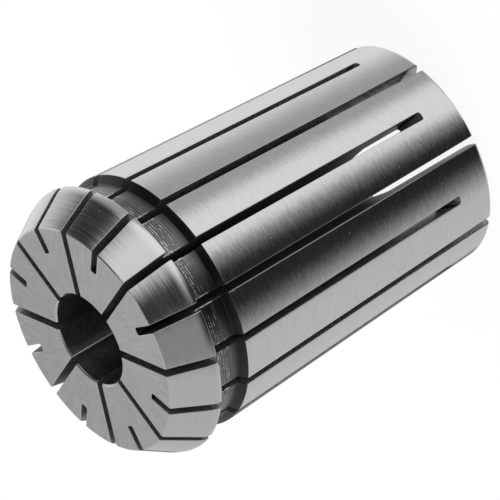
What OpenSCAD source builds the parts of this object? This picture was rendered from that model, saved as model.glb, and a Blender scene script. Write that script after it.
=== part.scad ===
// Spring collet with two sets of slots and a 1:10 taper, for tool holders with a cap nut.
// The axis is Z. The rear face stands on Z = 0 and the nose points up.
// The blank is turned, bored and ground; two passes of a disc saw then slot it from both ends.

/* [Blank] */
// length from the rear face to the nose face
total_len = 52; // [50:0.5:58]
// diameter of the land behind the nose cone, the widest place
nose_d = 35.05; // [34.8:0.05:37]
// diameter of the flat nose face
face_d = 29.4; // [27:0.1:31]
// angle between the nose cone and the axis
cone_angle = 30; // [24:1:40]
// length of the land, up to the corner that it makes with the nose cone
land_len = 0.75; // [0.6:0.05:3]
// radius that blends the nose cone into the land
shoulder_r = 1.2; // [0.6:0.1:1.6]
// edge break round the nose face
face_break = 0.12; // [0.05:0.01:0.3]

/* [Taper] */
// diameter at the large end of the taper
taper_d = 33.35; // [32.8:0.05:34]
// length in which the taper's diameter falls by 1 mm
taper_ratio = 10; // [8:1:20]
// radius of the rear edge
rear_r = 0.5; // [0.2:0.1:1]
// edge break at the large end
taper_break = 0.15; // [0.05:0.05:0.3]

/* [Groove] */
// diameter of the groove's floor
groove_d = 31.4; // [30:0.1:32]
// width of the groove, from the taper's large end to the nose
groove_w = 4.75; // [3.5:0.05:8]
// rise of the sloping wall between the taper and the groove's floor
ramp_rise = 0.6; // [0.2:0.1:1.5]
// radius in both corners of the groove
groove_r = 0.4; // [0.2:0.1:0.6]
// radius of the nose's back edge
back_r = 0.25; // [0.1:0.05:0.3]

/* [Bore] */
// diameter that grips the shank
bore_d = 12; // [6:0.5:16]
// edge break at the mouth of the bore
mouth_break = 0.2; // [0.05:0.05:0.5]
// diameter of the relief at the rear
relief_d = 25; // [22:0.1:25.4]
// how far the relief goes in past the place where the slots from the nose have opened the bore
relief_past = 0.1; // [0.1:0.1:6]
// angle between the relief's cone and the axis
relief_angle = 59; // [45:1:75]
// edge break at the relief's opening
relief_break = 0.4; // [0.1:0.1:0.6]

/* [Slots] */
// slots in each set
slot_count = 8; // [4:1:10]
// width that the saw leaves
slot_w = 1; // [0.6:0.1:1.4]
// diameter of the disc saw
saw_d = 80; // [63:1:125]
// how far the saw reaches in past the wall of the bore
saw_past = 4; // [1:0.1:5]
// height on the taper at which the slots from the nose stop
front_stop = 5; // [4:0.1:8]
// radius on the nose face at which the slots from the rear stop
web_r = 11.45; // [10:0.05:13]

/* [Hidden] */

blank_fn = 240;
round_fn = 96;
saw_fn = 360;
// how far a rounding's circle crosses the two edges that it blends
crossing = 0.002;
nose_r = nose_d / 2;
face_r = face_d / 2;
taper_r = taper_d / 2;
bore_r = bore_d / 2;
relief_r = relief_d / 2;
saw_r = saw_d / 2;
saw_floor = bore_r - saw_past;
// heights of the corner between nose cone and land, of the nose's back face and of the taper's large end
cone_foot = total_len - (nose_r - face_r) / tan(cone_angle);
groove_top = cone_foot - land_len;
taper_top = groove_top - groove_w;
// radius of the taper at a height
function taper_at(z) = taper_r - (taper_top - z) / (2 * taper_ratio);
// how far along the axis the saw's centre is from where its rim meets a radius
function saw_reach(r) = let (h = r - saw_floor) sqrt(2 * saw_r * h - h * h);
// heights of the saw's centre when the slots from the nose and from the rear are finished
front_saw = front_stop + saw_reach(taper_at(front_stop));
rear_saw = total_len - saw_reach(web_r);
// where the relief's cone reaches the bore, and where its straight part ends
relief_end = front_saw - saw_reach(bore_r) + relief_past;
relief_len = relief_end - (relief_r - bore_r) / tan(relief_angle);

// corners of the half section, anticlockwise: radius, height, rounding
outline = [
    [relief_r, relief_len, 0],
    [relief_r, relief_break, 0],
    [relief_r + relief_break, 0, 0],
    [taper_at(0), 0, rear_r],
    [taper_at(taper_top - taper_break), taper_top - taper_break, 0],
    [taper_r - taper_break, taper_top, 0],
    [groove_d / 2, taper_top + ramp_rise, groove_r],
    [groove_d / 2, groove_top, groove_r],
    [nose_r, groove_top, back_r],
    [nose_r, cone_foot, shoulder_r],
    [face_r + face_break * tan(cone_angle), total_len - face_break, 0],
    [face_r - face_break, total_len, 0],
    [bore_r + mouth_break, total_len, 0],
    [bore_r, total_len - mouth_break, 0],
    [bore_r, relief_end, 0],
];

function corner(i) = let (n = len(outline)) outline[(i + n) % n];
function at(i) = [corner(i).x, corner(i).y];
function toward(i, j) = (at(j) - at(i)) / norm(at(j) - at(i));
// half the angle between the two edges that meet at a corner
function half_angle(i) = acos(toward(i, i - 1) * toward(i, i + 1)) / 2;
// centre of a corner's rounding, set so that its circle crosses both edges by a hair
function round_centre(i) =
    let (mid = toward(i, i - 1) + toward(i, i + 1))
    at(i) + mid / norm(mid) * (corner(i).z - crossing) / sin(half_angle(i));
// the point of an edge that is nearest to the rounding's centre
function foot(i, j) = at(i) + toward(i, j) * ((round_centre(i) - at(i)) * toward(i, j));
// true where the outline turns inward
function inward(i) = cross(at(i) - at(i - 1), at(i + 1) - at(i)) < 0;
// an inward corner starts filled, for its circle to be cut from
function before_rounding(i) = corner(i).z > 0 && inward(i) ? [foot(i, i - 1), foot(i, i + 1)] : [at(i)];

// what a corner's rounding takes away: its circle, or the tip that lies beyond it
module rounding(i) {
    c = round_centre(i);
    if (inward(i)) translate(c) circle(corner(i).z, $fn = round_fn);
    else difference() {
        polygon([c, 2 * foot(i, i - 1) - c, 2 * at(i) - c, 2 * foot(i, i + 1) - c]);
        translate(c) circle(corner(i).z, $fn = round_fn);
    }
}

module half_section() {
    difference() {
        polygon([for (i = [0 : len(outline) - 1]) each before_rounding(i)]);
        for (i = [0 : len(outline) - 1])
            if (corner(i).z > 0) rounding(i);
    }
}

// the slit that the saw leaves: its disc at the end of the cut, and the way that it came
module saw_cut(centre_z, way) {
    rotate([90, 0, 0])
        linear_extrude(slot_w, center = true)
            translate([saw_floor + saw_r, centre_z]) {
                circle(saw_r, $fn = saw_fn);
                translate([-saw_r, way > 0 ? 0 : -2 * total_len]) square([saw_d, 2 * total_len]);
            }
}

module collet() {
    color([0.72, 0.72, 0.71])
        difference() {
            rotate_extrude($fn = blank_fn) half_section();
            for (i = [0 : slot_count - 1]) {
                rotate(i * 360 / slot_count - 90) saw_cut(front_saw, 1);
                rotate((i + 0.5) * 360 / slot_count - 90) saw_cut(rear_saw, -1);
            }
        }
}

collet();
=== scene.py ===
import bpy
import bmesh
import math
from mathutils import Matrix, Vector


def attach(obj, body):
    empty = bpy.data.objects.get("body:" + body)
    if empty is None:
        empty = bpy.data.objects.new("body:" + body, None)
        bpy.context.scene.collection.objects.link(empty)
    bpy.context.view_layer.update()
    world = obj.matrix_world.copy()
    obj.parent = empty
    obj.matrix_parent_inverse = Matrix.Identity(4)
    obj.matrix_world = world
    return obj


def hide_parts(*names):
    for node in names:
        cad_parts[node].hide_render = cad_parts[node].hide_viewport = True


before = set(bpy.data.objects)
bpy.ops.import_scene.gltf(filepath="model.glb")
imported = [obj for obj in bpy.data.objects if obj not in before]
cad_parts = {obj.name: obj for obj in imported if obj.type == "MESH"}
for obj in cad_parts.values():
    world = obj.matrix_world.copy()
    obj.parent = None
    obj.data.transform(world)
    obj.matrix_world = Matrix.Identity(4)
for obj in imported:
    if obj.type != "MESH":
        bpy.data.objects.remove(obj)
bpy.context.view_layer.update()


# the camera: its place in metres and its three directions
view = {
    "place": (-0.114665, -0.525087, 0.337775),
    "right": (-0.584821, -0.315421, -0.747325),
    "up": (0.790029, -0.430413, -0.436575),
    "forward": (0.183952, 0.845726, -0.500907),
    "lens": 369.88,
    "sensor": 36.0,
    "near": 0.01,
    "far": 20.0,
}


def makeCamera():
    lens = bpy.data.cameras.new("camera")
    lens.lens = view["lens"]
    lens.sensor_width = view["sensor"]
    lens.clip_start = view["near"]
    lens.clip_end = view["far"]
    camera = bpy.data.objects.new("camera", lens)
    bpy.context.scene.collection.objects.link(camera)
    back = -Vector(view["forward"])
    turn = Matrix((Vector(view["right"]), Vector(view["up"]), back)).transposed()
    camera.matrix_world = Matrix.Translation(view["place"]) @ turn.to_4x4()
    bpy.context.scene.camera = camera


makeCamera()
print("camera placed")


# shader maths is written as expressions on wires
class Wire:
    def __init__(self, tree, socket=None):
        self.tree = tree
        self.socket = socket

    # any node: its type, its settings, the values or links of its sockets, and the output to go on with
    def node(self, kind, settings=None, inputs=None, out=0):
        made = self.tree.nodes.new(kind)
        for key, value in (settings or {}).items():
            setattr(made, key, value)
        for key, value in (inputs or {}).items():
            if isinstance(value, Wire):
                self.tree.links.new(value.socket, made.inputs[key])
            else:
                made.inputs[key].default_value = value
        return Wire(self.tree, made.outputs[out] if len(made.outputs) else None)

    def maths(self, operation, *others):
        return self.node("ShaderNodeMath", {"operation": operation}, dict(enumerate((self, *others))))

    def __add__(self, other):
        return self.maths("ADD", other)

    __radd__ = __add__

    def __sub__(self, other):
        return self.maths("SUBTRACT", other)

    def __rsub__(self, other):
        return self.node("ShaderNodeMath", {"operation": "SUBTRACT"}, {0: other, 1: self})

    def __mul__(self, other):
        return self.maths("MULTIPLY", other)

    __rmul__ = __mul__

    # 0 at low, 1 at high, with soft ends
    def step(self, low, high):
        ends = {0: self, 1: low, 2: high}
        return self.node("ShaderNodeMapRange", {"interpolation_type": "SMOOTHSTEP"}, ends)

    # 0 before a place and 1 past it, soft by so much on both sides
    def past(self, place, soft):
        return self.step(place - soft, place + soft)

    # from one number or wire to another where this wire goes from 0 to 1
    def between(self, low, high):
        return self * (high - low) + low

    # a value that this noise of -0.5 to 0.5 moves by so much each way
    def varying(self, value, by):
        return self * (2 * by) + value

    def mixed(self, first, second):
        return self.node("ShaderNodeMix", {"data_type": "RGBA"}, {0: self, 6: first, 7: second}, 2)

    def vector(self, operation, *others):
        inputs = dict(enumerate((self, *others)))
        return self.node("ShaderNodeVectorMath", {"operation": operation}, inputs)

    def times(self, number):
        return self.node("ShaderNodeVectorMath", {"operation": "SCALE"}, {0: self, "Scale": number})

    def parts(self):
        split = self.node("ShaderNodeSeparateXYZ", None, {0: self})
        outputs = split.socket.node.outputs
        return [Wire(self.tree, outputs[place]) for place in range(3)]

    def joined(self, second, third):
        return self.node("ShaderNodeCombineXYZ", None, {0: self, 1: second, 2: third})


def newMaterial(name):
    material = bpy.data.materials.new(name)
    material.use_nodes = True
    material.node_tree.nodes.clear()
    return material, Wire(material.node_tree)


def level(value):
    return (value, value, value, 1.0)


def noise(spot, detail):
    return spot.node("ShaderNodeTexNoise", None, {"Vector": spot, "Scale": 1.0, "Detail": detail})


# degrees around the axis
def azimuth(x, y):
    return y.maths("ARCTAN2", x) * (180 / math.pi)


# 1 for the camera, its mirror images and what it sees through glass, 0 for light that falls on things
def seenRays(start):
    path = start.node("ShaderNodeLightPath").socket.node
    seen = Wire(start.tree, path.outputs["Is Camera Ray"])
    for name in ("Is Glossy Ray", "Is Transmission Ray"):
        seen = seen.maths("MAXIMUM", Wire(start.tree, path.outputs[name]))
    return seen


studio = {
    "worldOnFloor": 0.72,
    "floorColor": (0.93, 0.93, 0.93, 1.0),
    "floorGlow": 0.9,  # share of plain white over the paper, which keeps the shadow
    "floorSize": 6.0,
    "floorGap": 0.00002,  # below the rear face, so that the two don't share a plane
    "tentRadius": 3.0,
    "tentRings": 24,
    "tentLevel": 0.66,
    "lampPlace": (-0.35, 0.15, 1.1),
    "lampSize": 0.7,
    "lampPower": 6.0,
}

# cards and flags on the tent, by azimuth and elevation in degrees: full between the two, with a soft edge
# before and after. Level 1 is white. A later one covers an earlier one.
cards = {
    "grayWall": {"turn": (84, 190), "soft": (14, 10), "rise": (-90, 90), "fade": 1, "level": 0.68},
    "upperWall": {"turn": (70, 188), "soft": (14, 10), "rise": (-18, 90), "fade": 10, "level": 0.6},
    "lowFlag": {"turn": (74, 89), "soft": (6, 20), "rise": (-90, -28), "fade": 7, "level": 0.03},
    "faceCard": {"turn": (62, 92), "soft": (12, 14), "rise": (8, 60), "fade": 12, "level": 0.52},
    "fillCard": {"turn": (-60, 10), "soft": (10, 20), "rise": (-90, 90), "fade": 1, "level": 0.46},
    "sideCard": {"turn": (16, 62), "soft": (30, 6), "rise": (-12, 90), "fade": 10, "level": 0.76},
    "keyCard": {"turn": (22, 66), "soft": (42, 8), "rise": (-90, -18), "fade": 14, "level": 0.96},
    "keyEnd": {"turn": (54, 66), "soft": (26, 6), "rise": (-90, -22), "fade": 12, "level": 0.84},
    "stripCard": {"turn": (-88, -59), "soft": (10, 17), "rise": (-90, 10), "fade": 8, "level": 1.0},
    "highStrip": {"turn": (-88, -34), "soft": (10, 10), "rise": (10, 35), "fade": 6, "level": 0.97},
    "horizonFlag": {"turn": (-138, -126), "soft": (42, 38), "rise": (-24, 12), "fade": 10, "level": 0.12},
    "taperFlag": {"turn": (-139, -113), "soft": (42, 32), "rise": (-90, -22), "fade": 14, "level": 0.02},
    "horizonStrip": {"turn": (-88, -48), "soft": (20, 14), "rise": (-12, 6), "fade": 14, "level": 1.08},
    "dimCard": {"turn": (-158, -125), "soft": (20, 10), "rise": (15, 90), "fade": 8, "level": 0.33},
    "shoulderFlag": {"turn": (-115, -103), "soft": (18, 30), "rise": (22, 70), "fade": 15, "level": 0.035},
    "noseFlag": {"turn": (-17, -6), "soft": (40, 42), "rise": (10, 60), "fade": 11, "level": 0.035,
                 "tilt": 0.31},  # it climbs by this much per degree of azimuth
    "ceilingRing": {"turn": (-110, 20), "soft": (40, 40), "rise": (42, 70), "fade": 8, "level": 0.12},
}


def makeWorld():
    world = bpy.data.worlds.new("studio")
    bpy.context.scene.world = world
    world.use_nodes = True
    world.node_tree.nodes.clear()
    start = Wire(world.node_tree)
    strength = seenRays(start).between(studio["worldOnFloor"], 1.0)
    light = start.node("ShaderNodeBackground", None, {"Color": level(1.0), "Strength": strength})
    start.node("ShaderNodeOutputWorld", None, {"Surface": light})


def makeFloor():
    half = studio["floorSize"] / 2
    corners = [(-half, -half, 0), (half, -half, 0), (half, half, 0), (-half, half, 0)]
    mesh = bpy.data.meshes.new("floor")
    mesh.from_pydata(corners, [], [(0, 1, 2, 3)])
    floor = bpy.data.objects.new("floor", mesh)
    bpy.context.scene.collection.objects.link(floor)
    floor.location = (0, 0, -studio["floorGap"])
    floor.visible_glossy = False  # the steel shows the tent's cards below it, as a part held on a rod does
    material, start = newMaterial("floorPaper")
    glowing = seenRays(start) * studio["floorGlow"]
    paper = start.node("ShaderNodeBsdfDiffuse", None, {"Color": studio["floorColor"]})
    glow = start.node("ShaderNodeEmission", None, {"Color": level(1.0), "Strength": 1.0})
    both = start.node("ShaderNodeMixShader", None, {0: glowing, 1: paper, 2: glow})
    start.node("ShaderNodeOutputMaterial", None, {"Surface": both})
    mesh.materials.append(material)


# a sphere round the collet that only its polish sees
def makeTent():
    mesh = bpy.data.meshes.new("tent")
    shell = bmesh.new()
    rings = studio["tentRings"]
    bmesh.ops.create_uvsphere(shell, u_segments=2 * rings, v_segments=rings, radius=studio["tentRadius"])
    shell.to_mesh(mesh)
    shell.free()
    tent = bpy.data.objects.new("tent", mesh)
    bpy.context.scene.collection.objects.link(tent)
    tent.visible_camera = False
    tent.visible_diffuse = False
    tent.visible_transmission = False
    tent.visible_shadow = False
    material, start = newMaterial("tentCards")
    toward = start.node("ShaderNodeTexCoord", None, None, "Object").vector("NORMALIZE")
    x, y, z = toward.parts()
    turn = azimuth(x, y)
    rise = z.maths("ARCSINE") * (180 / math.pi)
    shade = level(studio["tentLevel"])
    for card in cards.values():
        first, last = card["turn"]
        before, after = card["soft"]
        lowest, highest = card["rise"]
        half = (last - first) / 2
        away = (turn - (first + half)).maths("WRAP", 180.0, -180.0)
        mask = away.step(-half - before, -half) * (1 - away.step(half, half + after))
        height = rise + away * card.get("tilt", 0.0)
        if lowest > -90:
            mask = mask * height.step(lowest - card["fade"], lowest)
        if highest < 90:
            mask = mask * (1 - height.step(highest, highest + card["fade"]))
        shade = mask.mixed(shade, level(card["level"]))
    glow = start.node("ShaderNodeEmission", None, {"Color": shade, "Strength": 1.0})
    start.node("ShaderNodeOutputMaterial", None, {"Surface": glow})
    material.cycles.emission_sampling = "NONE"
    mesh.materials.append(material)


def makeLamp():
    lamp = bpy.data.lights.new("topLamp", "AREA")
    lamp.shape = "DISK"
    lamp.size = studio["lampSize"]
    lamp.energy = studio["lampPower"]
    holder = bpy.data.objects.new("topLamp", lamp)
    bpy.context.scene.collection.objects.link(holder)
    holder.location = studio["lampPlace"]
    holder.rotation_euler = (-Vector(studio["lampPlace"])).to_track_quat("-Z", "Y").to_euler()
    holder.visible_glossy = False


makeWorld()
makeFloor()
makeTent()
makeLamp()
print("studio made")


collet = {  # millimetres and degrees, as in the part's source
    "length": 52.0,
    "noseR": 17.525,
    "faceR": 14.7,
    "coneAngle": 30.0,
    "land": 0.75,
    "shoulder": 1.2,
    "footLength": 0.45,  # the foot of the nose cone is worn to a steeper angle over this length
    "footAngle": 19.0,
    "footRound": 4.4,
    "faceBreak": 0.12,
    "taperR": 16.675,
    "taperRatio": 10.0,
    "rearRound": 0.5,
    "taperBreak": 0.15,
    "grooveR": 15.7,
    "grooveWidth": 4.75,
    "rampRise": 0.6,
    "grooveRound": 0.4,
    "backRound": 0.15,
    "boreR": 6.0,
    "mouthBreak": 0.2,
    "reliefR": 12.5,
    "reliefPast": 0.1,
    "reliefAngle": 59.0,
    "reliefBreak": 0.4,
    "cornerRound": 0.15,  # the corners that are sharp in the source
    "fineRound": 0.12,  # and those beside the groove and the mouth of the bore
    "slotPairs": 8,
    "slotHalf": 0.5,
    "sawR": 40.0,
    "sawFloor": 2.0,
    "frontStop": 5.0,
    "webR": 11.45,
    "firstSlot": -90.0,
    "highlightSlot": 90.0,  # the slot with a painted highlight on one side of it in the bore
    "edge": 0.08,  # rounding that deburring leaves along the slots
    "boreEdge": 0.15,  # in the bore, up to the next height
    "boreEdgeTop": 51.0,
    "rearEdge": 0.08,  # more at the rear face, fading out up to the next height
    "rearEdgeTop": 2.0,
    "sawRound": 0.25,  # the saw's worn corners leave this radius at the slots' ends
    "sawRoundReach": 1.0,  # how far from a slot's end on the section that radius may be
    "edgeSteps": 3,
    "sawRoundSteps": 3,
    "aroundSteps": 9,
    "endSteps": 10,
    "arcStep": 12.0,  # degrees between the stations on a rounding
    "longestRun": 4.0,  # stations are put into runs longer than two of these
    "leastRun": 0.5,  # no nearer than this to another
}
millimetre = 0.001
# how near counts as on a run, at a slot's end and as wide, and to how many digits two points are one
hair = {"run": 0.01, "end": 0.0001, "width": 0.000001, "digits": 6}


def derived():
    c = collet
    d = {}
    cone = math.radians(c["coneAngle"])
    d["coneFoot"] = c["length"] - (c["noseR"] - c["faceR"]) / math.tan(cone)
    d["footR"] = c["noseR"] - c["footLength"] * math.sin(cone)
    d["footHigh"] = d["coneFoot"] + c["footLength"] * math.cos(cone)
    d["footLow"] = d["footHigh"] - (c["noseR"] - d["footR"]) / math.tan(math.radians(c["footAngle"]))
    d["grooveTop"] = d["coneFoot"] - c["land"]
    d["taperTop"] = d["grooveTop"] - c["grooveWidth"]
    d["taperAt"] = lambda z: c["taperR"] - (d["taperTop"] - z) / (2 * c["taperRatio"])

    def sawReach(r):
        deep = r - c["sawFloor"]
        return math.sqrt(2 * c["sawR"] * deep - deep * deep)

    d["frontSaw"] = c["frontStop"] + sawReach(d["taperAt"](c["frontStop"]))
    d["rearSaw"] = c["length"] - sawReach(c["webR"])
    d["reliefEnd"] = d["frontSaw"] - sawReach(c["boreR"]) + c["reliefPast"]
    d["reliefLen"] = d["reliefEnd"] - (c["reliefR"] - c["boreR"]) / math.tan(math.radians(c["reliefAngle"]))
    d["frontInner"] = d["frontSaw"] - sawReach(c["reliefR"])
    d["rearInner"] = d["rearSaw"] + sawReach(c["boreR"])
    return d


heights = derived()


# corners of the half section, anticlockwise: radius, height, rounding, and the finish of what follows
def sectionCorners():
    c = collet
    h = heights
    lean = math.tan(math.radians(c["coneAngle"]))
    top = c["length"]
    sharp = c["cornerRound"]
    fine = c["fineRound"]
    belowBreak = h["taperTop"] - c["taperBreak"]
    return [
        (c["reliefR"], h["reliefLen"], sharp, "bore"),
        (c["reliefR"], c["reliefBreak"], sharp, "bore"),
        (c["reliefR"] + c["reliefBreak"], 0, sharp, "rear"),
        (h["taperAt"](0), 0, c["rearRound"], "taper"),
        (h["taperAt"](belowBreak), belowBreak, fine, "groove"),
        (c["taperR"] - c["taperBreak"], h["taperTop"], fine, "ramp"),
        (c["grooveR"], h["taperTop"] + c["rampRise"], c["grooveRound"], "groove"),
        (c["grooveR"], h["grooveTop"], c["grooveRound"], "groove"),
        (c["noseR"], h["grooveTop"], c["backRound"], "nose"),
        (c["noseR"], h["footLow"], c["shoulder"], "nose"),
        (h["footR"], h["footHigh"], c["footRound"], "nose"),
        (c["faceR"] + c["faceBreak"] * lean, top - c["faceBreak"], sharp, "nose"),
        (c["faceR"] - c["faceBreak"], top, sharp, "face"),
        (c["boreR"] + c["mouthBreak"], top, fine, "edge"),
        (c["boreR"], top - c["mouthBreak"], fine, "bore"),
        (c["boreR"], h["reliefEnd"], sharp, "bore"),
    ]


# stations along the section: radius, height, normal, finish of what follows. A corner is rounded between
# its two tangent points, so every station has one normal.
def sectionStations():
    corners = sectionCorners()
    stations = []
    for place, (r, z, rounding, finish) in enumerate(corners):
        here = Vector((r, z))
        into = (here - Vector(corners[place - 1][:2])).normalized()
        away = (Vector(corners[(place + 1) % len(corners)][:2]) - here).normalized()
        turn = math.atan2(into.x * away.y - into.y * away.x, into.dot(away))
        reach = rounding * math.tan(abs(turn) / 2)
        steps = max(2, math.ceil(math.degrees(abs(turn)) / collet["arcStep"]))
        side = 1 if turn > 0 else -1
        firstNormal = Vector((into.y, -into.x))
        centre = here - into * reach - firstNormal * rounding * side
        before = corners[place - 1][3]
        for step in range(steps + 1):
            part = turn * step / steps
            normal = Matrix.Rotation(part, 2) @ firstNormal
            point = centre + normal * rounding * side
            name = before if step * 2 < steps else finish
            stations.append([point.x, point.y, normal.x, normal.y, name])
    return stations


# where a slot ends on the section, outside and inside, and the way along the section in which it goes on
def slotEnds(slot):
    c = collet
    h = heights
    if slot == "front":
        outer = ((h["taperAt"](c["frontStop"]), c["frontStop"]), (1 / (2 * c["taperRatio"]), 1))
        inner = ((c["reliefR"], h["frontInner"]), (0, 1))
    else:
        outer = ((c["webR"], c["length"]), (1, 0))
        inner = ((c["boreR"], h["rearInner"]), (0, -1))
    return [(Vector(point), Vector(way).normalized()) for point, way in (outer, inner)]


def sawHeight(slot):
    return heights["frontSaw"] if slot == "front" else heights["rearSaw"]


# how far a place on the section lies inside the saw's cut
def cutDepth(slot, r, z):
    c = collet
    saw = sawHeight(slot)
    if (z >= saw) if slot == "front" else (z <= saw):
        return r - c["sawFloor"]
    return c["sawR"] - math.hypot(r - c["sawFloor"] - c["sawR"], z - saw)


# the round corner between a slot's end and its wall: depth in the cut, half the width, turn in radians
def cornerShape():
    c = collet
    shape = []
    for step in range(c["sawRoundSteps"] + 1):
        turn = math.pi / 2 * step / c["sawRoundSteps"]
        deep = c["sawRound"] * (1 - math.cos(turn))
        half = c["slotHalf"] - c["sawRound"] * (1 - math.sin(turn))
        shape.append((deep, half, turn))
    return shape


# where the corner's steps cross the section, at a slot's outer and inner end
def cornerPlaces(slot):
    c = collet
    centre = Vector((c["sawFloor"] + c["sawR"], sawHeight(slot)))
    places = []
    for point, way in slotEnds(slot):
        row = [tuple(point)]
        for deep, half, turn in cornerShape()[1:]:
            toward = (point - centre).dot(way)
            far = (point - centre).length_squared - (c["sawR"] - deep) ** 2
            root = math.sqrt(toward * toward - far)
            along = min(-toward - root, -toward + root, key=abs)
            row.append(tuple(point + way * along))
        places.append(row)
    return places


# half the slot's width at a place on the section, narrower in the round corner at its end
def slotHalfAt(slot, r, z):
    c = collet
    narrow = c["slotHalf"] - c["sawRound"]
    deep = cutDepth(slot, r, z)
    if deep < hair["end"]:
        return narrow
    fromEnd = min((point - Vector((r, z))).length for point, way in slotEnds(slot))
    if fromEnd > c["sawRoundReach"] or deep > c["sawRound"] - hair["end"]:
        return c["slotHalf"]
    return narrow + math.sqrt(c["sawRound"] ** 2 - (c["sawRound"] - deep) ** 2)


# adds stations at the slots' ends and on their corners, and long runs get a few between
def fullSection():
    c = collet
    stations = sectionStations()
    full = []
    for place, station in enumerate(stations):
        following = stations[(place + 1) % len(stations)]
        start = Vector(station[:2])
        run = Vector(following[:2]) - start
        length = run.length
        marks = {}
        for slot in ("front", "rear"):
            for point in sum(cornerPlaces(slot), []):
                along = (Vector(point) - start).dot(run) / length
                off = (Vector(point) - start - run.normalized() * along).length
                if off < hair["run"] and 0 < along < length:
                    marks[along] = point
        pieces = math.floor(length / c["longestRun"])
        for number in range(1, pieces):
            along = length * number / pieces
            if all(abs(along - mark) > c["leastRun"] for mark in marks):
                marks[along] = tuple(start + run.normalized() * along)
        full.append(station)
        for along in sorted(marks):
            share = along / length
            normal = Vector(station[2:4]) * (1 - share) + Vector(following[2:4]) * share
            full.append([*marks[along], *normal.normalized(), station[4]])
    return full


# how wide a slot's edge is rounded at a place on the section
def edgeWidth(slot, r, z):
    c = collet
    share = min(1.0, cutDepth(slot, r, z) / c["sawRound"])
    if share <= hair["end"]:
        return 0.0
    inBore = r < c["boreR"] + hair["run"] and z < c["boreEdgeTop"]
    width = c["boreEdge"] if inBore else c["edge"]
    width += c["rearEdge"] * max(0.0, 1 - z / c["rearEdgeTop"])
    return width * math.sin(share * math.pi / 2)


finishes = ["taper", "nose", "face", "ramp", "groove", "bore", "rear", "edge", "burr", "boreEdge",
            "slotFront", "slotRear", "slotEnd"]
# what these finishes change to beside a slot
slotEdge = {"taper": "edge", "nose": "edge", "face": "edge", "bore": "edge", "rear": "edge",
            "groove": "burr"}


# points that meet are one point, and a face keeps the normal of each of its corners
class ColletMesh:
    def __init__(self):
        self.places = {}
        self.points = []
        self.faces = []
        self.normals = []
        self.finish = []

    def point(self, r, turn, z):
        around = math.radians(turn % 360.0)
        spot = (r * math.cos(around), r * math.sin(around), z)
        key = tuple(round(part, hair["digits"]) + 0.0 for part in spot)  # the sum turns -0.0 into 0.0
        if key not in self.places:
            self.places[key] = len(self.points)
            self.points.append(Vector(spot))
        return self.places[key]

    def face(self, corners, finish, flipped):
        kept = []
        for corner in corners:
            if not kept or corner[0] != kept[-1][0]:
                kept.append(corner)
        if kept[0][0] == kept[-1][0]:
            kept.pop()
        if len(kept) < 3:
            return
        if flipped:
            kept.reverse()
        self.faces.append([index for index, normal in kept])
        self.normals.extend(normal for index, normal in kept)
        self.finish.append(finishes.index(finish))


def turned(normalR, normalAround, normalZ, turn):
    around = math.radians(turn)
    x = normalR * math.cos(around) - normalAround * math.sin(around)
    y = normalR * math.sin(around) + normalAround * math.cos(around)
    return Vector((x, y, normalZ))


# the turn of a place so far across from a slot's mid plane
def turnBeside(plane, way, across, radius):
    return plane + way * math.degrees(math.asin(across / radius))


# the four corners between two rows
def quadAt(lower, upper, part):
    return [lower[part], lower[part + 1], upper[part + 1], upper[part]]


# the points beside one slot, from its wall (or its mid plane, where it isn't cut) to the surface beside it
def slotSide(shape, station, slot, plane, way, cut):
    r, z, nr, nz = station[:4]
    half = slotHalfAt(slot, r, z)
    steps = collet["edgeSteps"]
    width = edgeWidth(slot, r, z) if cut else 0.0
    side = []
    for step in range(steps + 1):
        if cut:
            lean = math.radians(90 - 90 * step / steps)
            deep = width * (1 - math.cos(lean))
            across = half + width * (1 - math.sin(lean))
            out = math.cos(lean)
            toSlot = math.sin(lean)
            radius = r - deep * nr
            height = z - deep * nz
        else:
            across = half * step / steps
            out = 1.0
            toSlot = 0.0
            radius = r
            height = z
        turn = turnBeside(plane, way, across, radius)
        index = shape.point(radius, turn, height)
        # the section's normal turns with the point, the wall's normal is square to the slot's plane
        normal = turned(nr * out, 0, nz * out, turn) + turned(0, -way * toSlot, 0, plane)
        side.append((index, normal.normalized(), turn))
    return side


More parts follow.
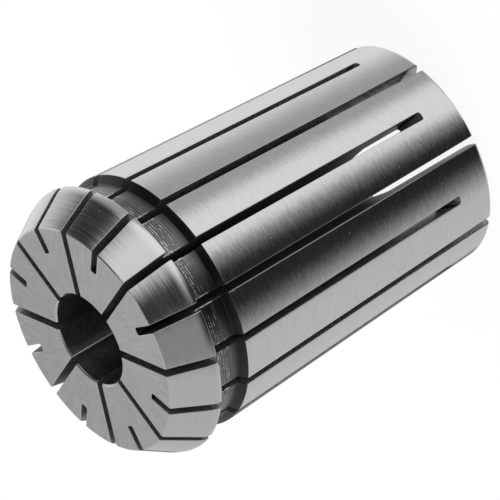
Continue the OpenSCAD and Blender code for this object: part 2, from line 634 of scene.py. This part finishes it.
# the surface from the mid plane of a slot from the nose to that of the next slot from the rear
def makeSector(shape, section, plane, way):
    c = collet
    rearPlane = plane + way * 180.0 / c["slotPairs"]
    count = len(section)
    walls = {"front": ([], {}), "rear": ([], {})}  # runs of the wall's rim, and its point at each station
    for place in range(count):
        a = section[place]
        b = section[(place + 1) % count]
        middle = ((a[0] + b[0]) / 2, (a[1] + b[1]) / 2)
        cutFront = cutDepth("front", *middle) > 0
        cutRear = cutDepth("rear", *middle) > 0
        rows = []
        for station in (a, b):
            front = slotSide(shape, station, "front", plane, way, cutFront)
            rear = slotSide(shape, station, "rear", rearPlane, -way, cutRear)
            row = list(front)
            first = front[-1][2]
            last = rear[-1][2]
            for step in range(1, c["aroundSteps"]):
                turn = first + (last - first) * step / c["aroundSteps"]
                index = shape.point(station[0], turn, station[1])
                row.append((index, turned(station[2], 0, station[3], turn), turn))
            row.extend(reversed(rear))
            rows.append(row)
        for step in range(len(rows[0]) - 1):
            besideFront = cutFront and step < c["edgeSteps"]
            besideRear = cutRear and step >= len(rows[0]) - 1 - c["edgeSteps"]
            finish = a[4]
            if besideFront or besideRear:
                # one side of one slot in the bore gets the painted highlight
                highlightSide = besideFront and way < 0 and plane == c["highlightSlot"]
                finish = "boreEdge" if finish == "bore" and highlightSide else slotEdge.get(finish, finish)
            quad = [(index, normal) for index, normal, turn in quadAt(*rows, step)]
            shape.face(quad, finish, way < 0)
        for slot, cut, end in (("front", cutFront, 0), ("rear", cutRear, -1)):
            if cut:
                runs, rim = walls[slot]
                rim[tuple(a[:2])] = rows[0][end][0]
                rim[tuple(b[:2])] = rows[1][end][0]
                half = min(slotHalfAt(slot, *a[:2]), slotHalfAt(slot, *b[:2]))
                if half > c["slotHalf"] - hair["width"]:
                    runs.append((rows[0][end][0], rows[1][end][0]))
    slotWall(shape, "front", plane, way, *walls["front"])
    slotWall(shape, "rear", rearPlane, -way, *walls["rear"])


# the arc that the saw leaves at a slot's end with its round corner, and the flat wall beside it
def slotWall(shape, slot, plane, way, runs, rim):
    c = collet
    saw = sawHeight(slot)
    centre = c["sawFloor"] + c["sawR"]
    outer, inner = cornerPlaces(slot)
    flat = c["slotHalf"] - c["sawRound"]
    columns = [(0, 0.0, flat * part / c["edgeSteps"], 0.0) for part in range(c["edgeSteps"])]
    for number, (deep, half, turn) in enumerate(cornerShape()):
        columns.append((number, deep, half, turn))
    rows = []
    for step in range(c["endSteps"] + 1):
        row = []
        for number, deep, across, lean in columns:
            first = math.atan2(outer[number][1] - saw, outer[number][0] - centre)
            last = math.atan2(inner[number][1] - saw, inner[number][0] - centre)
            around = first + (last - first) * step / c["endSteps"]
            end = outer if step == 0 else inner
            if 0 < step < c["endSteps"]:
                radius = math.hypot(centre + (c["sawR"] - deep) * math.cos(around), across)
                z = saw + (c["sawR"] - deep) * math.sin(around)
            else:
                radius, z = end[0]
            if step in (0, c["endSteps"]) and number > 0:
                index = rim[end[number]]
            else:
                index = shape.point(radius, turnBeside(plane, way, across, radius), z)
            out = -math.cos(around) * math.cos(lean)
            up = -math.sin(around) * math.cos(lean)
            row.append((index, turned(out, -way * math.sin(lean), up, plane)))
        rows.append(row)
    for step in range(c["endSteps"]):
        for part in range(len(columns) - 1):
            quad = quadAt(rows[step], rows[step + 1], part)
            shape.face(quad, "slotEnd", (way < 0) != (slot == "rear"))
    following = {first: second for first, second in runs}
    wallNormal = turned(0, -way, 0, plane)
    edge = [row[-1][0] for row in rows]
    if edge[-1] in following and edge[0] not in following:
        following.update(zip(edge, edge[1:]))
    else:
        following.update(zip(edge[1:], edge))
    loop = [runs[0][0]]
    while following[loop[-1]] != loop[0]:
        loop.append(following[loop[-1]])
    finish = "slotFront" if slot == "front" else "slotRear"
    shape.face([(index, wallNormal) for index in loop], finish, way < 0)


def makeCollet():
    shape = ColletMesh()
    section = fullSection()
    for pair in range(collet["slotPairs"]):
        plane = collet["firstSlot"] + pair * 360.0 / collet["slotPairs"]
        for way in (1, -1):
            makeSector(shape, section, plane, way)
    mesh = bpy.data.meshes.new("colletGround")
    mesh.from_pydata([point * millimetre for point in shape.points], [], shape.faces)
    mesh.polygons.foreach_set("material_index", shape.finish)
    mesh.polygons.foreach_set("use_smooth", [True] * len(shape.faces))
    mesh.normals_split_custom_set([tuple(normal) for normal in shape.normals])
    mesh.update()
    piece = bpy.data.objects.new("collet_ground", mesh)
    bpy.context.scene.collection.objects.link(piece)
    print("collet mesh:", len(shape.points), "points,", len(shape.faces), "faces")
    return piece


piece = makeCollet()


# how warmth moves the colours of a gray, and how much of it a warm patch gives to blue
tint = {"red": 0.6, "green": 0.5, "blue": 0.4, "patchBlue": 0.2}


def warmed(shade, warmth):
    red = shade * (1 + warmth * tint["red"])
    return red.joined(shade * (1 - warmth * tint["green"]), shade * (1 - warmth * tint["blue"]))


def patched(shade, warm):
    return (shade + warm).joined(shade, shade + warm * tint["patchBlue"])


# place in millimetres
def partPlace(start):
    return start.node("ShaderNodeTexCoord", None, None, "Object").times(1 / millimetre)


# how far lines move round per millimetre up, since noise is weak where it runs along its own lattice
lineShear = {"x": 1.3, "y": 1.7}


# noise drawn out into lines around the axis
def aroundLines(place, length, width, detail, shift=0.0):
    x, y, z = place.parts()
    first = x * (1 / length) + z * lineShear["x"]
    second = y * (1 / length) + z * lineShear["y"]
    return noise(first.joined(second, z * (1 / width) + shift), detail)


def patches(place, size, detail, shift=0.0):
    return noise(place.vector("ADD", (shift, shift, shift)).times(1 / size), detail)


# a normal that leans to and fro around the axis
def leaningNormal(start, lean):
    normal = start.node("ShaderNodeNewGeometry", None, None, "Normal")
    around = normal.vector("CROSS_PRODUCT", (0.0, 0.0, 1.0))
    return normal.vector("ADD", around.times(lean)).vector("NORMALIZE")


def finishMetal(start, color, rough, grain, normal, metallic=1.0, rim=1.0):
    surface = start.node("ShaderNodeBsdfPrincipled", None, {
        "Base Color": color,
        "Metallic": metallic,
        "Specular Tint": level(rim),
        "Roughness": rough,
        "Anisotropic": grain,
        "Anisotropic Rotation": 0.25,  # a quarter turn, for lines round the axis
        "Normal": normal,
    })
    start.node("ShaderNodeOutputMaterial", None, {"Surface": surface})


# ground on a cylindrical grinder: the lines run round the axis
ground = {
    "taper": {"shade": 0.64, "vary": 0.12, "rough": 0.18, "roughVary": 0.08, "grain": 0.75, "lean": 0.08,
              "coarse": 0.15, "length": 1.2},
    "nose": {"shade": 0.64, "vary": 0.06, "rough": 0.17, "roughVary": 0.12, "grain": 0.7, "lean": 0.14,
             "coarse": 0.35, "length": 7.0},
    "edge": {"shade": 0.66, "vary": 0.03, "rough": 0.25, "roughVary": 0.05, "grain": 0.0, "lean": 0.02,
             "coarse": 0.1, "length": 4.0, "paintedRearDim": 0.35},
    "rear": {"shade": 0.6, "vary": 0.08, "rough": 0.25, "roughVary": 0.1, "grain": 0.0, "lean": 0.08,
             "coarse": 0.1, "length": 4.0},
    "lineWidth": 0.105,
    "coarseLength": 9.0,
    "coarseWidth": 0.3,
    "leastRough": 0.06,
    "rearFade": (4.0, 14.0),  # heights between which the painted shade on the slots' edges near the rear fades out to their full shade
    "warmth": 0.02,
    "patchSize": 9.0,
    "patchEdge": (0.5, 0.58),
    "speckApart": 1.2,
    "speckSize": 0.055,
    "speckCore": 0.5,  # share of a speck that is full
    "speckRough": 0.3,
    "speckDull": 0.7,
}


# specks of dust
def specks(place):
    cells = {"Vector": place.times(1 / ground["speckApart"]), "Scale": 1.0}
    near = place.node("ShaderNodeTexVoronoi", {"feature": "F1"}, cells, "Distance")
    rim = ground["speckSize"] / ground["speckApart"]
    return 1 - near.step(rim * ground["speckCore"], rim)


def groundSteel(name):
    look = ground[name]
    material, start = newMaterial("steel_" + name)
    place = partPlace(start)
    fine = aroundLines(place, look["length"], ground["lineWidth"], detail=1.0)
    coarse = aroundLines(place, ground["coarseLength"], ground["coarseWidth"], detail=2.0, shift=31.0)
    line = fine * (1 - look["coarse"]) + coarse * look["coarse"] - 0.5
    tilt = aroundLines(place, look["length"], ground["lineWidth"], detail=1.0, shift=57.0) - 0.5
    warm = patches(place, ground["patchSize"], detail=1.0, shift=4.0).step(*ground["patchEdge"])
    warm = warm * ground["warmth"] * look["shade"]
    dust = specks(place)
    shade = line.varying(look["shade"], look["vary"])
    # painted shade: the slots' edges are dimmer near the rear face
    if "paintedRearDim" in look:
        height = place.parts()[2]
        shade = shade * height.step(*ground["rearFade"]).between(look["paintedRearDim"], 1.0)
    rough = line.varying(look["rough"], look["roughVary"]).maths("MAXIMUM", ground["leastRough"])
    rough = rough + dust * ground["speckRough"]
    normal = leaningNormal(start, tilt * look["lean"])
    finishMetal(start, patched(shade, warm), rough, look["grain"], normal, 1 - dust * ground["speckDull"])
    return material


# the nose face is ground flat: fine lines that fan out from the bore, and a painted sheen that makes one
# side of the face brighter
faceLook = {
    "shade": 0.6,
    "vary": 0.17,
    "rough": 0.3,
    "roughVary": 0.05,
    "lean": 0.06,
    "lines": 60.0,
    "swirl": 0.012,
    "along": 2.2,
    "cloud": 0.08,
    "cloudSize": 3.0,
    "mottle": 0.14,
    "mottleSize": 0.4,
    "paintedSheen": 0.03,
    "paintedSheenFrom": 250.0,
    "warmth": 0.035,
    "patchSize": 7.0,
    "patchEdge": (0.44, 0.54),
}


def faceSteel(name):
    look = faceLook
    material, start = newMaterial("steel_" + name)
    place = partPlace(start)
    x, y = place.parts()[:2]
    radius = (x * x + y * y).maths("SQRT")
    turn = y.maths("ARCTAN2", x)
    fanned = turn + radius * look["swirl"]
    across = fanned.maths("COSINE") * look["lines"]
    fan = across.joined(fanned.maths("SINE") * look["lines"], radius * (1 / look["along"]))
    line = noise(fan, detail=3.0) - 0.5
    cloud = patches(place, look["cloudSize"], detail=3.0) - 0.5
    mottle = patches(place, look["mottleSize"], detail=2.0, shift=13.0) - 0.5
    # painted sheen: brighter towards one side of the face
    paintedSheen = (turn - math.radians(look["paintedSheenFrom"])).maths("COSINE") * look["paintedSheen"]
    warm = patches(place, look["patchSize"], detail=1.0, shift=9.0).step(*look["patchEdge"])
    warm = warm * look["warmth"] * look["shade"]
    shade = line.varying(look["shade"], look["vary"])
    shade = shade + cloud * look["cloud"] + mottle * look["mottle"] + paintedSheen
    rough = line.varying(look["rough"], look["roughVary"])
    finishMetal(start, patched(shade, warm), rough, 0.0, leaningNormal(start, line * look["lean"]))
    return material


# the groove is left as turned: dull and brownish, and darker still with painted shade under the nose, most
# on the ramp; with bright broken rub lines on the side of the nose
grooveLook = {
    "shade": 0.15,
    "vary": 0.12,
    "rough": 0.32,
    "roughVary": 0.1,
    "grain": 0.5,
    "lean": 0.3,
    "warmth": 0.05,
    "lineLength": 5.0,
    "lineWidth": 0.16,
    "paintedRampShade": 0.05,
    "rampTop": 42.65,
    "rampFade": 0.55,
    "rubShade": 0.9,
    "rubRough": 0.3,
    "rubMetallic": 0.9,
    "rubFrom": 43.5,  # height of the lowest rub line, and how softly they set in
    "rubFromFade": 0.4,
    "rubTo": 45.7,
    "rubToFade": 0.3,
    "rubPitch": 0.36,
    "rubHalf": 0.13,
    "rubHalfFade": 0.065,
    "rubDrift": 1.1,
    "rubDriftBy": 2.5,
    "rubFaint": 0.15,  # what is left of a rub line in its gaps
    "rowApart": 7.3,  # keeps the noise of one row clear of the next
    "beadLength": 0.24,
    "beadEdge": (0.42, 0.58),
    "gapLength": 1.6,
    "gapEdge": (0.38, 0.56),
    "gapRow": 50.0,
    "wornSize": 3.0,
    "wornEdge": (0.3, 0.5),
    "burrShade": 0.8,
    "burrMetallic": 0.6,
    "burrLean": 0.1,
    "burrWidth": 0.08,
    "burrWidthFade": 0.12,
    "burrLength": 0.35,
    "burrEdge": (0.38, 0.55),
}


# noise along one row, with a pattern of its own in each
def rowNoise(x, y, row, length):
    spot = (x * (1 / length)).joined(y * (1 / length), row * grooveLook["rowApart"])
    return noise(spot, detail=1.0)


# the saw's burr along the slots' edges is broken into bright patches
def burrPatches(place):
    return patches(place, grooveLook["burrLength"], detail=1.0, shift=21.0).step(*grooveLook["burrEdge"])


def grooveSteel(name):
    look = grooveLook
    slotStep = 180.0 / collet["slotPairs"]
    material, start = newMaterial("steel_" + name)
    place = partPlace(start)
    x, y, z = place.parts()
    line = aroundLines(place, look["lineLength"], look["lineWidth"], detail=3.0, shift=7.0) - 0.5
    # rows left by the tool's feed, unevenly apart, each broken into beads and gaps of its own
    drift = noise(z * look["rubDrift"], detail=0.0)
    feed = z * (1 / look["rubPitch"]) + drift * look["rubDriftBy"]
    row = feed.maths("FLOOR")
    ridge = (feed.maths("FRACT") - 0.5).maths("ABSOLUTE")
    beads = rowNoise(x, y, row, look["beadLength"]).step(*look["beadEdge"])
    gaps = rowNoise(x, y, row + look["gapRow"], look["gapLength"]).step(*look["gapEdge"])
    rub = 1 - ridge.past(look["rubHalf"], look["rubHalfFade"])
    rub = rub * beads.between(look["rubFaint"], 1.0) * gaps.between(look["rubFaint"], 1.0)
    worn = patches(place, look["wornSize"], detail=3.0, shift=5.0).step(*look["wornEdge"])
    fromSlot = (azimuth(x, y) - collet["firstSlot"]).maths("WRAP", slotStep / 2, -slotStep / 2)
    beside = fromSlot.maths("ABSOLUTE") * (math.pi / 180 * collet["grooveR"])
    edge = collet["slotHalf"] + look["burrWidth"]
    burr = (1 - beside.step(edge, edge + look["burrWidthFade"])) * burrPatches(place)
    there = z.past(look["rubFrom"], look["rubFromFade"]) * (1 - z.past(look["rubTo"], look["rubToFade"]))
    rub = (rub * worn).maths("MAXIMUM", burr) * there
    # painted shade: the ramp up to the taper is darker than the groove's floor
    low = 1 - z.past(look["rampTop"], look["rampFade"])
    shade = low.between(line.varying(look["shade"], look["vary"]), look["paintedRampShade"])
    shade = rub.between(shade, look["rubShade"])
    rough = line.varying(look["rough"], look["roughVary"]) + rub * look["rubRough"]
    normal = leaningNormal(start, line * look["lean"])
    metallic = rub.between(1.0, look["rubMetallic"])
    finishMetal(start, warmed(shade, look["warmth"]), rough, look["grain"], normal, metallic)
    return material


def burrSteel(name):
    look = grooveLook
    material, start = newMaterial("steel_" + name)
    place = partPlace(start)
    height = place.parts()[2]
    bright = burrPatches(place) * height.past(look["rubFrom"], look["rubFromFade"])
    color = warmed(bright.between(look["shade"], look["burrShade"]), look["warmth"])
    normal = leaningNormal(start, bright * look["burrLean"])
    finishMetal(start, color, look["rough"], 0.0, normal, bright.between(1.0, look["burrMetallic"]))
    return material


# the bore and the relief are dark inside, with faint lines round the axis
boreLook = {
    "shade": 0.31,
    "leastShade": 0.02,
    "vary": 0.15,
    "rough": 0.38,
    "roughVary": 0.1,
    "grain": 0.3,
    "lean": 0.2,
    "warmth": 0.03,
    "lineLength": 2.5,
    "lineWidth": 0.15,
    "cloudSize": 0.5,
    "highlightShade": 0.85,
    "edgeRough": 0.6,
    "edgeMetallic": 0.2,
}


def boreSteel(name):
    look = boreLook
    material, start = newMaterial("steel_" + name)
    place = partPlace(start)
    line = aroundLines(place, look["lineLength"], look["lineWidth"], detail=3.0, shift=4.0) - 0.5
    cloud = patches(place, look["cloudSize"], detail=3.0, shift=2.0) - 0.5
    shade = (line + cloud).varying(look["shade"], look["vary"]).maths("MAXIMUM", look["leastShade"])
    rough = line.varying(look["rough"], look["roughVary"])
    normal = leaningNormal(start, line * look["lean"])
    finishMetal(start, warmed(shade, look["warmth"]), rough, look["grain"], normal)
    return material


# a painted highlight: a pale, dull strip on one side of a slot in the bore
def boreHighlightSteel(name):
    look = boreLook
    material, start = newMaterial("steel_" + name)
    normal = start.node("ShaderNodeNewGeometry", None, None, "Normal")
    finishMetal(start, level(look["highlightShade"]), look["edgeRough"], 0.0, normal, look["edgeMetallic"])
    return material


# the disc saw leaves lines on the slots' walls, arcs of its rim as it goes in; the walls also carry painted
# light and shade near the rear and beside the slots' ends
sawLook = {
    "shade": 0.3,
    "leastShade": 0.01,
    "vary": 0.5,
    "rough": 0.34,
    "lean": 0.12,
    "metallic": 0.84,
    "rim": 0.35,
    "warmth": 0.03,
    "lineWidth": 0.5,
    "lineLength": 6.0,
    "lineDrift": 0.2,
    "paintedRearLight": 0.55,  # painted light: the walls from the rear are brighter up to this height, where light comes in through the open rear
    "rearTop": 5.0,
    "rearFade": 1.5,
    "borderSlot": -67.5,  # but in this slot only up to a slanting border, past which a painted dark reflection is darkest
    "borderTurn": (8.0, 12.0),  # degrees from the slot in which that ends
    "border": 16.1,  # radius plus height there
    "borderSoft": 0.15,
    "paintedWedgeShade": 0.1,
    "borderFade": 3.0,
    "paintedReliefLight": 0.42,  # painted light: the walls from the nose are brighter beside the slot's end, with painted shade that makes them dark before it
    "paintedReliefShade": 0.12,
    "reliefFrom": 21.2,  # radius plus height, too
    "reliefSoft": 0.3,
    "reliefTo": 23.0,
    "reliefFade": 1.2,
    "endShade": 0.16,
    "endVary": 0.05,
}


def slotSteel(name):
    look = sawLook
    material, start = newMaterial("steel_" + name)
    place = partPlace(start)
    x, y, z = place.parts()
    radius = (x * x + y * y).maths("SQRT")
    inward = (collet["sawFloor"] + collet["sawR"]) - radius
    reach = (collet["sawR"] ** 2 - inward * inward).maths("MAXIMUM", 0.0).maths("SQRT")
    feed = z - reach if name == "slotRear" else z + reach
    spot = (feed * (1 / look["lineWidth"])).joined(radius * (1 / look["lineLength"]), x * look["lineDrift"])
    line = noise(spot, detail=3.0) - 0.5
    slant = z + radius
    if name == "slotEnd":
        shade = line.varying(look["endShade"], look["endVary"])
    elif name == "slotFront":
        # painted light beside the ends of the slots from the nose, and painted shade before it
        beside = 1 - slant.past(look["reliefTo"], look["reliefFade"])
        bright = beside.between(look["shade"], look["paintedReliefLight"])
        shade = slant.past(look["reliefFrom"], look["reliefSoft"]).between(look["paintedReliefShade"], bright)
    else:
        # painted light on the walls of the slots from the rear, near the rear face
        paintedRearWall = z.past(look["rearTop"], look["rearFade"]).between(look["paintedRearLight"], look["shade"])
        # painted dark reflection just past a slanting border in one slot, with the painted light before it
        fading = slant.step(look["border"], look["border"] + look["borderFade"])
        dark = fading.between(look["paintedWedgeShade"], look["shade"])
        bordered = slant.past(look["border"], look["borderSoft"]).between(look["paintedRearLight"], dark)
        fromSlot = (azimuth(x, y) - look["borderSlot"]).maths("ABSOLUTE")
        shade = (1 - fromSlot.step(*look["borderTurn"])).between(paintedRearWall, bordered)
    if name != "slotEnd":
        shade = (shade * line.varying(1.0, look["vary"])).maths("MAXIMUM", look["leastShade"])
    color = warmed(shade, look["warmth"])
    normal = leaningNormal(start, line * look["lean"])
    finishMetal(start, color, look["rough"], 0.0, normal, look["metallic"], look["rim"])
    return material


makers = {
    "taper": groundSteel,
    "nose": groundSteel,
    "face": faceSteel,
    "ramp": grooveSteel,
    "groove": grooveSteel,
    "bore": boreSteel,
    "rear": groundSteel,
    "edge": groundSteel,
    "burr": burrSteel,
    "boreEdge": boreHighlightSteel,
    "slotFront": slotSteel,
    "slotRear": slotSteel,
    "slotEnd": slotSteel,
}
for name in finishes:
    piece.data.materials.append(makers[name](name))
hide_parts("collet")
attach(piece, "root")
print("finishes made")


bpy.context.scene.view_settings.view_transform = "Standard"
